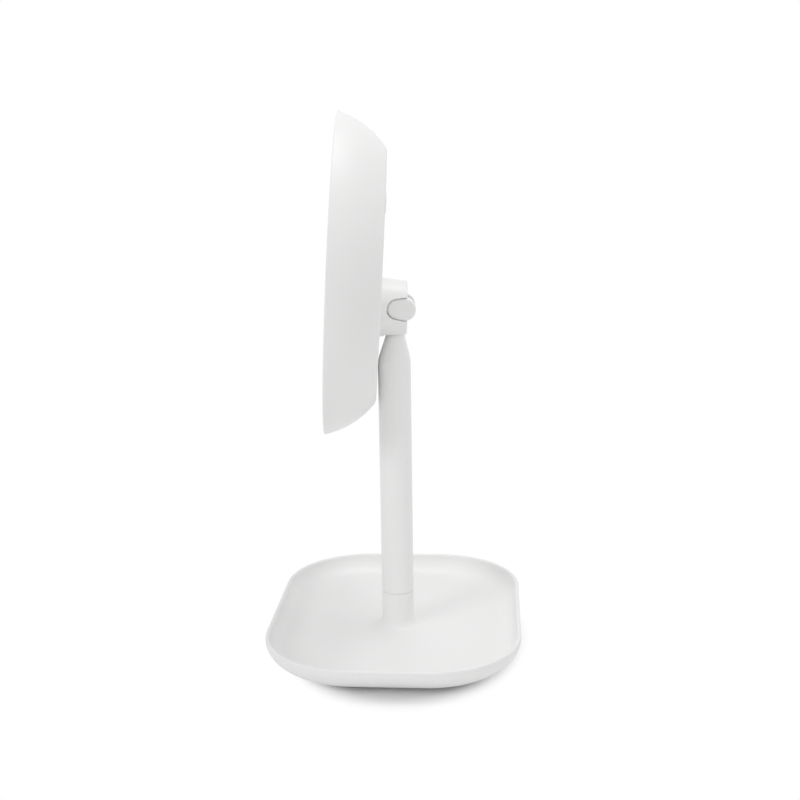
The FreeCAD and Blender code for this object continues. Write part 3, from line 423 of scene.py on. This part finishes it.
class StageSettings(bpy.types.PropertyGroup):
    """Camera, lamps and floor."""

    camera_place: bpy.props.FloatVectorProperty(
        name="Camera place",
        description="Where the camera stands",
        subtype="TRANSLATION",
        unit="LENGTH",
        size=3,
        default=(0.76554, 0.06067, 0.33635),
    )
    camera_heading: bpy.props.FloatProperty(
        name="Camera heading",
        description="Direction of view about the upright axis, from +X",
        subtype="ANGLE",
        default=math.radians(184.289),
    )
    camera_dip: bpy.props.FloatProperty(
        name="Camera dip",
        description="How far the view points below the horizon",
        subtype="ANGLE",
        default=math.radians(13.046),
    )
    camera_roll: bpy.props.FloatProperty(
        name="Camera roll",
        description="Turn of the picture about the direction of view",
        subtype="ANGLE",
        default=math.radians(-0.832),
    )
    lens: bpy.props.FloatProperty(
        name="Lens",
        description="Focal length on a sensor 36 mm wide",
        unit="CAMERA",
        default=55.88,
    )
    ambient: bpy.props.FloatProperty(
        name="Ambient light",
        description="Strength of the light that comes from all around",
        default=0.60,
    )
    lamp_width: bpy.props.FloatProperty(
        name="Lamp width",
        description="Side of the square lamps",
        unit="LENGTH",
        default=0.5,
    )
    overhead_power: bpy.props.FloatProperty(
        name="Overhead lamp",
        description="Power of the lamp above",
        unit="POWER",
        default=3.0,
    )
    overhead_place: bpy.props.FloatVectorProperty(
        name="Overhead lamp place",
        description="Where the lamp above hangs",
        subtype="TRANSLATION",
        unit="LENGTH",
        size=3,
        default=(-0.10, 0.20, 1.20),
    )
    glass_side_power: bpy.props.FloatProperty(
        name="Glass side lamp",
        description="Power of the lamp on the glass's side",
        unit="POWER",
        default=2.95,
    )
    glass_side_place: bpy.props.FloatVectorProperty(
        name="Glass side lamp place",
        description="Where the lamp on the glass's side stands",
        subtype="TRANSLATION",
        unit="LENGTH",
        size=3,
        default=(0.90, -0.85, 0.70),
    )
    hinge_side_power: bpy.props.FloatProperty(
        name="Hinge side lamp",
        description="Power of the lamp on the hinge's side",
        unit="POWER",
        default=1.0,
    )
    hinge_side_place: bpy.props.FloatVectorProperty(
        name="Hinge side lamp place",
        description="Where the lamp on the hinge's side stands",
        subtype="TRANSLATION",
        unit="LENGTH",
        size=3,
        default=(0.90, 0.85, 0.40),
    )
    floor_radius: bpy.props.FloatProperty(
        name="Floor radius",
        description="Radius of the round floor",
        unit="LENGTH",
        default=4.0,
    )
    floor_white: bpy.props.FloatVectorProperty(
        name="Floor white",
        description="Colour of the floor",
        subtype="COLOR",
        size=3,
        default=(0.88, 0.88, 0.88),
    )
    shadow_length: bpy.props.FloatProperty(
        name="Shadow length",
        description="Half the length of the oval outside which the floor is plain white",
        unit="LENGTH",
        default=115.0 * MILLIMETRE,
    )
    shadow_width: bpy.props.FloatProperty(
        name="Shadow width",
        description="Half the width of the oval outside which the floor is plain white",
        unit="LENGTH",
        default=82.0 * MILLIMETRE,
    )
    shadow_shift: bpy.props.FloatProperty(
        name="Shadow shift",
        description="How far the oval lies behind the column",
        unit="LENGTH",
        default=5.0 * MILLIMETRE,
    )
    shadow_core: bpy.props.FloatProperty(
        name="Shadow core",
        description="Share of the oval's size within which the shadow is whole",
        subtype="FACTOR",
        default=0.79,
    )


# Finishes of the mouldings


def satin_white(settings):
    """Satin white moulding with a fine spark-eroded grain and faint clouding."""
    material, tree = new_tree("satin_white")
    place = tree.place()
    clouds = tree.noise(place, 55.0 * MILLIMETRE, detail=3.0)
    flow = tree.noise(place, 12.0 * MILLIMETRE, detail=3.0)
    grain = tree.noise(place, settings.grain, roughness=0.6)
    shine = spread(flow, settings.satin - 0.06, settings.satin + 0.02)
    tree.surface(
        base_color=tree.tint(clouds, settings.white, 0.985, 1.0),
        roughness=shine + spread(grain, 0.0, 0.05),
        normal=tree.bump(grain, settings.grain_depth),
    )
    return material


def bright_white(settings):
    """Glossier white moulding that throws the light forwards."""
    material, tree = new_tree("bright_white")
    place = tree.place()
    flow = tree.noise(place, 20.0 * MILLIMETRE, detail=3.0)
    grain = tree.noise(place, settings.grain, detail=1.0)
    tree.surface(
        base_color=tree.tint(flow, settings.reflector, 0.98, 1.0),
        roughness=spread(flow, 0.22, 0.32),
        normal=tree.bump(grain, settings.grain_depth / 2),
    )
    return material


def slippery_plastic(settings):
    """Turned natural bearing plastic."""
    material, tree = new_tree("slippery_plastic")
    cuts = tree.noise(tree.place(), 0.6 * MILLIMETRE)
    tree.surface(
        base_color=tree.tint(cuts, settings.bearing, 0.94, 1.0),
        roughness=spread(cuts, 0.34, 0.44),
        normal=tree.bump(cuts, 0.01 * MILLIMETRE),
    )
    return material


def black_moulding(settings):
    """Dull black of chip packages and the switch."""
    material, tree = new_tree("black_moulding")
    grain = tree.noise(tree.place(), 0.15 * MILLIMETRE)
    tree.surface(
        base_color=tree.tint(grain, settings.black, 0.8, 1.5),
        roughness=spread(grain, 0.48, 0.63),
        normal=tree.bump(grain, 0.008 * MILLIMETRE),
    )
    return material


def pad_rubber(settings):
    """Matt cellular rubber of the pad under the base."""
    material, tree = new_tree("pad_rubber")
    place = tree.place()
    pores = tree.cells(place, 0.9 * MILLIMETRE)
    dust = tree.noise(place, 4.0 * MILLIMETRE, detail=4.0)
    tree.surface(
        base_color=tree.tint(dust, settings.rubber, 0.8, 1.35),
        roughness=spread(dust, 0.78, 0.90),
        normal=tree.bump(pores, 0.06 * MILLIMETRE),
    )
    return material


def cellular_foam(settings):
    """Open-celled foam of the tapes."""
    material, tree = new_tree("cellular_foam")
    pores = tree.cells(tree.place(), 0.5 * MILLIMETRE)
    tree.surface(
        base_color=tree.tint(pores, settings.foam, 0.82, 1.0),
        roughness=spread(pores, 0.8, 0.9),
        normal=tree.bump(pores, 0.08 * MILLIMETRE),
    )
    return material


# Finishes of the glass and the light


def silvered_glass(settings):
    """Silvered face with faint wipe marks, ground green edge and painted back."""
    material, tree = new_tree("silvered_glass")
    place = tree.place()
    face = tree.looking(FORWARD)
    back = tree.looking(-FORWARD)
    wipes = tree.noise(place, 30.0 * MILLIMETRE, detail=5.0, roughness=0.6)
    smear = tree.step(wipes, 0.5, 0.8)
    lumps = tree.noise(place, 1.2 * MILLIMETRE)
    silver = tree.tint(smear, settings.silver, 1.0, 0.97)
    paint = tree.tint(lumps, settings.backing, 0.9, 1.05)
    off_face = tree.mix(back, shade(settings.edge, 1.0), paint)
    ground = spread(back, 0.28, 0.53)
    polished = spread(smear, 0.012, 0.042)
    tree.surface(
        base_color=tree.mix(face, off_face, silver),
        metallic=face,
        roughness=spread(face, ground, polished),
        normal=tree.hollow_normal(face, middle("mirror_glass") + settings.curve * FORWARD),
    )
    return material


def frosted_ring(settings):
    """Milky ring that spreads the light."""
    material, tree = new_tree("frosted_ring")
    place = tree.place()
    frost = tree.noise(place, 0.3 * MILLIMETRE)
    milk = tree.noise(place, 30.0 * MILLIMETRE)
    tree.surface(
        base_color=tree.tint(milk, settings.frosted, 0.985, 1.0),
        roughness=spread(frost, 0.3, 0.45),
        normal=tree.bump(frost, 0.003 * MILLIMETRE),
    )
    return material


def light_emitter(settings):
    """White package with a round phosphor window on each emitter of the ring."""
    material, tree = new_tree("light_emitter")
    place = tree.place()
    offset = tree.from_to(middle("leds"), place)
    across = tree.along(offset, HINGE_AXIS)
    up = tree.along(offset, HEAD_UP)
    low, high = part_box("leds")
    ring_radius = (high.z - low.z) / 2 / HEAD_UP.z - EMITTER_WIDTH / 2
    turn = 2.0 * math.pi / EMITTER_COUNT
    angle = tree.node("Math", {"operation": "ARCTAN2"}, {0: up, 1: across})
    sideways = angle.wrapped(turn / 2, -turn / 2) * ring_radius
    outwards = (across * across + up * up).root() - ring_radius
    reach = (sideways * sideways + outwards * outwards).root()
    rim = settings.window / 2
    window = tree.step(reach, rim, 0.9 * rim)
    grains = tree.noise(place, 0.2 * MILLIMETRE, detail=1.0)
    glow = tree.tint(grains, settings.phosphor, 0.85, 1.05)
    tree.surface(
        base_color=tree.mix(window * tree.looking(FORWARD), shade(settings.frosted, 0.95), glow),
        roughness=spread(window, 0.4, 0.2) + spread(grains, 0.0, 0.1),
    )
    return material


# Finishes of the metals, laminates and the cell


def plated_steel(settings):
    """Zinc-plated steel with fine scratches and a cloudy shine."""
    material, tree = new_tree("plated_steel")
    place = tree.place()
    clouds = tree.noise(place, 4.0 * MILLIMETRE, detail=4.0)
    scratches = tree.noise(place, 0.4 * MILLIMETRE, detail=3.0)
    tree.surface(
        base_color=tree.tint(clouds, settings.steel, 0.85, 1.05),
        metallic=1.0,
        roughness=spread(clouds, 0.24, 0.40) + spread(scratches, 0.0, 0.06),
        normal=tree.bump(scratches, 0.006 * MILLIMETRE),
    )
    return material


def machined_brass(settings):
    """Turned brass."""
    material, tree = new_tree("machined_brass")
    cuts = tree.noise(tree.place(), 0.3 * MILLIMETRE)
    tree.surface(
        base_color=tree.tint(cuts, settings.brass, 0.86, 1.0),
        metallic=1.0,
        roughness=spread(cuts, 0.26, 0.40),
        normal=tree.bump(cuts, 0.01 * MILLIMETRE),
    )
    return material


def pouch_foil(settings):
    """Laminated foil pouch with soft creases."""
    material, tree = new_tree("pouch_foil")
    creases = tree.noise(tree.place(), 9.0 * MILLIMETRE, detail=3.0)
    tree.surface(
        base_color=tree.tint(creases, settings.foil, 0.9, 1.0),
        metallic=0.85,
        roughness=spread(creases, 0.3, 0.42),
        normal=tree.bump(creases, 0.25 * MILLIMETRE),
    )
    return material


def lacquered_board(name, lacquer, spacing):
    """Circuit board with copper tracks that show through its lacquer."""
    material, tree = new_tree(name)
    place = tree.place()
    across = tree.along(place, HINGE_AXIS)
    up = tree.along(place, HEAD_UP)
    upright = tree.step(tree.cells(place, BOARD_PATCH, out="Color"), 0.48, 0.52)
    lane = spread(upright, across, up)
    stripe = abs((lane / spacing).wrapped(0.5, -0.5))
    track = tree.step(stripe, TRACK_EDGE, TRACK_CORE)
    weave = tree.noise(place, 0.8 * MILLIMETRE)
    bare = tree.tint(weave, lacquer, 0.9, 1.0)
    tree.surface(
        base_color=tree.mix(track, bare, shade(lacquer, 1.25)),
        roughness=spread(weave, 0.28, 0.40),
        normal=tree.bump(track, 0.03 * MILLIMETRE),
    )
    return material


def inlet_metal(settings, black):
    """Drawn steel shell of the inlet with a black tongue inside."""
    material, tree = new_tree("inlet_metal")
    place = tree.place()
    rise = tree.along(tree.from_to(middle("charging_socket"), place), HEAD_UP)
    level = tree.step(abs(rise), TONGUE_REACH, 0.8 * TONGUE_REACH)
    ends = tree.step(abs(tree.facing(HINGE_AXIS)), 0.8, 0.9)
    tongue = level * (1.0 - ends)
    drawing = tree.noise(place, 0.6 * MILLIMETRE, detail=3.0)
    metal = tree.tint(drawing, settings.steel, 0.9, 1.05)
    tree.surface(
        base_color=tree.mix(tongue, metal, shade(black, 1.0)),
        metallic=1.0 - tongue,
        roughness=spread(drawing, 0.26, 0.36) + spread(tongue, 0.0, 0.15),
    )
    return material


# Operators, one for each group of pieces


class MIRROR_OT_base(bpy.types.Operator):
    """Finish the dish base, its underside and its weight"""

    bl_idname = "mirror.base"
    bl_label = "Base"

    def execute(self, context):
        scene = context.scene
        white = satin_white(scene.mirror_plastic)
        dress(white, "base_tray", "base_bottom_plate")
        dress(pad_rubber(scene.mirror_plastic), "anti_slip_pad")
        dress(plated_steel(scene.mirror_metal), "base_screws", "ballast_plate")
        return {"FINISHED"}


class MIRROR_OT_column(bpy.types.Operator):
    """Finish the column and the swivel at its foot"""

    bl_idname = "mirror.column"
    bl_label = "Column and swivel"

    def execute(self, context):
        scene = context.scene
        dress(satin_white(scene.mirror_plastic), "column_tube")
        dress(slippery_plastic(scene.mirror_plastic), "swivel_bearing", "swivel_spigot")
        dress(machined_brass(scene.mirror_metal), "threaded_insert")
        dress(plated_steel(scene.mirror_metal), "swivel_bolt", "swivel_washer")
        return {"FINISHED"}


class MIRROR_OT_hinge(bpy.types.Operator):
    """Finish the tilt hinge"""

    bl_idname = "mirror.hinge"
    bl_label = "Tilt hinge"

    def execute(self, context):
        scene = context.scene
        white = satin_white(scene.mirror_plastic)
        dress(white, "hinge_boss", "hinge_cheek_left", "hinge_cheek_right")
        dress(plated_steel(scene.mirror_metal), "hinge_axle", "hinge_discs", "hinge_screws")
        return {"FINISHED"}


class MIRROR_OT_shell(bpy.types.Operator):
    """Finish the head's shell, its trim ring, the button and the inlet"""

    bl_idname = "mirror.shell"
    bl_label = "Shell and button"

    def execute(self, context):
        scene = context.scene
        white = satin_white(scene.mirror_plastic)
        dress(white, "rear_shell", "front_bezel", "power_button")
        dress(inlet_metal(scene.mirror_metal, scene.mirror_plastic.black), "charging_socket")
        return {"FINISHED"}


class MIRROR_OT_glass(bpy.types.Operator):
    """Finish the magnifying glass and its tape"""

    bl_idname = "mirror.glass"
    bl_label = "Magnifying glass"

    def execute(self, context):
        scene = context.scene
        dress(silvered_glass(scene.mirror_glass), "mirror_glass")
        dress(cellular_foam(scene.mirror_plastic), "mirror_tape", "battery_tape")
        return {"FINISHED"}


class MIRROR_OT_light(bpy.types.Operator):
    """Finish the ring of light and the carrier behind the glass"""

    bl_idname = "mirror.light"
    bl_label = "Ring of light"

    def execute(self, context):
        scene = context.scene
        metal = scene.mirror_metal
        dress(frosted_ring(scene.mirror_glass), "light_diffuser")
        dress(light_emitter(scene.mirror_glass), "leds")
        dress(lacquered_board("light_board", metal.white_lacquer, metal.track), "led_board")
        dress(bright_white(scene.mirror_plastic), "mirror_carrier")
        dress(plated_steel(metal), "carrier_screws")
        return {"FINISHED"}


class MIRROR_OT_electronics(bpy.types.Operator):
    """Finish the main board, its parts and the cell"""

    bl_idname = "mirror.electronics"
    bl_label = "Electronics"

    def execute(self, context):
        scene = context.scene
        metal = scene.mirror_metal
        dress(lacquered_board("main_board", metal.laminate, metal.track), "main_board")
        dress(black_moulding(scene.mirror_plastic), "board_chips", "tact_switch")
        dress(plated_steel(metal), "board_screws")
        dress(pouch_foil(metal), "battery_cell")
        return {"FINISHED"}


class MIRROR_OT_stage(bpy.types.Operator):
    """Set the floor, the light and the camera"""

    bl_idname = "mirror.stage"
    bl_label = "Stage"

    def execute(self, context):
        scene = context.scene
        settings = scene.mirror_stage
        width = settings.lamp_width
        scene.view_settings.view_transform = "Standard"
        scene.camera = stage_camera(scene, settings)
        soft_lamp(scene, "overhead_lamp", width, settings.overhead_place, settings.overhead_power)
        side_lamps = {
            "glass_side_lamp": (settings.glass_side_place, settings.glass_side_power),
            "hinge_side_lamp": (settings.hinge_side_place, settings.hinge_side_power),
        }
        for name, (place, power) in side_lamps.items():
            lamp = soft_lamp(scene, name, width, place, power)
            lamp.visible_glossy = False
        studio_world(scene, settings)
        white_floor(settings)
        return {"FINISHED"}


# Stage


def stage_camera(scene, settings):
    """Camera at the photographed viewing angle."""
    level = Vector((math.cos(settings.camera_heading), math.sin(settings.camera_heading), 0.0))
    view = level * math.cos(settings.camera_dip) - UP * math.sin(settings.camera_dip)
    right = view.cross(UP).normalized()
    up = right.cross(view)
    turn = Matrix.Rotation(settings.camera_roll, 3, -view)
    axes = Matrix((turn @ right, turn @ up, -view)).transposed()
    data = bpy.data.cameras.new("photo_camera")
    data.sensor_width = SENSOR_WIDTH
    data.lens = settings.lens
    camera = bpy.data.objects.new("photo_camera", data)
    camera.matrix_world = Matrix.Translation(settings.camera_place) @ axes.to_4x4()
    scene.collection.objects.link(camera)
    return camera


def soft_lamp(scene, name, width, place, power):
    """Wide soft lamp that points at the middle of the object."""
    data = bpy.data.lights.new(name, "AREA")
    data.shape = "SQUARE"
    data.size = width
    data.energy = power
    lamp = bpy.data.objects.new(name, data)
    aim = UP * CAD_BOX[1].z / 2 - Vector(place)
    lamp.matrix_world = Matrix.Translation(place) @ aim.to_track_quat("-Z", "Y").to_matrix().to_4x4()
    lamp.visible_camera = False
    scene.collection.objects.link(lamp)
    return lamp


def seen_directly(tree):
    """1 for rays that show the surroundings as they look: straight, mirrored or through glass."""
    straight = tree.node("LightPath", out="Is Camera Ray")
    mirrored = tree.node("LightPath", out="Is Glossy Ray")
    through = tree.node("LightPath", out="Is Transmission Ray")
    return straight.at_least(mirrored).at_least(through)


def studio_world(scene, settings):
    """Even light from all around, with a plain white backdrop."""
    scene.world = bpy.data.worlds.new("studio")
    tree = Tree(scene.world)
    light = tree.node("Background", None, {"Color": PLAIN_WHITE, "Strength": settings.ambient})
    white = tree.node("Background", None, {"Color": PLAIN_WHITE, "Strength": 1.0})
    surface = tree.node("MixShader", None, {0: seen_directly(tree), 1: light, 2: white})
    tree.node("OutputWorld", None, {"Surface": surface})


def white_floor(settings):
    """Round white floor that keeps the shadow near the base."""
    bpy.ops.mesh.primitive_circle_add(vertices=FLOOR_SIDES, radius=settings.floor_radius, fill_type="NGON")
    floor = bpy.context.active_object
    floor.name = "floor"
    material, tree = new_tree("floor_white")
    place = tree.from_to((0.0, settings.shadow_shift, 0.0), tree.place())
    across = tree.along(place, (1.0 / settings.shadow_length, 0.0, 0.0))
    along = tree.along(place, (0.0, 1.0 / settings.shadow_width, 0.0))
    plain = tree.step((across * across + along * along).root(), settings.shadow_core, 1.0)
    lit = tree.node("BsdfDiffuse", None, {"Color": shade(settings.floor_white, 1.0)})
    white = tree.node("Emission", None, {"Color": PLAIN_WHITE, "Strength": 1.0})
    surface = tree.node("MixShader", None, {0: plain * seen_directly(tree), 1: lit, 2: white})
    tree.node("OutputMaterial", None, {"Surface": surface})
    floor.data.materials.append(material)


# Sidebar and registration


STEPS = (
    MIRROR_OT_base,
    MIRROR_OT_column,
    MIRROR_OT_hinge,
    MIRROR_OT_shell,
    MIRROR_OT_glass,
    MIRROR_OT_light,
    MIRROR_OT_electronics,
    MIRROR_OT_stage,
)
SETTINGS = {
    "mirror_plastic": PlasticSettings,
    "mirror_glass": GlassSettings,
    "mirror_metal": MetalSettings,
    "mirror_stage": StageSettings,
}


class VIEW3D_PT_mirror(bpy.types.Panel):
    """Settings and steps of the mirror"""

    bl_label = "Lighted mirror"
    bl_idname = "VIEW3D_PT_mirror"
    bl_space_type = "VIEW_3D"
    bl_region_type = "UI"
    bl_category = "Mirror"

    def draw(self, context):
        layout = self.layout
        for step in STEPS:
            layout.operator(step.bl_idname)
        for name in SETTINGS:
            group = getattr(context.scene, name)
            box = layout.box()
            for field in group.bl_rna.properties:
                if not field.is_readonly and field.identifier != "name":
                    box.prop(group, field.identifier)


def register():
    for group in SETTINGS.values():
        bpy.utils.register_class(group)
    for step in STEPS:
        bpy.utils.register_class(step)
    bpy.utils.register_class(VIEW3D_PT_mirror)
    for name, group in SETTINGS.items():
        setattr(bpy.types.Scene, name, bpy.props.PointerProperty(type=group))


def unregister():
    for name in SETTINGS:
        delattr(bpy.types.Scene, name)
    bpy.utils.unregister_class(VIEW3D_PT_mirror)
    for step in reversed(STEPS):
        bpy.utils.unregister_class(step)
    for group in reversed(list(SETTINGS.values())):
        bpy.utils.unregister_class(group)


def main():
    """Run every step in order."""
    register()
    bpy.ops.mirror.base()
    bpy.ops.mirror.column()
    bpy.ops.mirror.hinge()
    bpy.ops.mirror.shell()
    bpy.ops.mirror.glass()
    bpy.ops.mirror.light()
    bpy.ops.mirror.electronics()
    bpy.ops.mirror.stage()


if __name__ == "__main__":
    main()
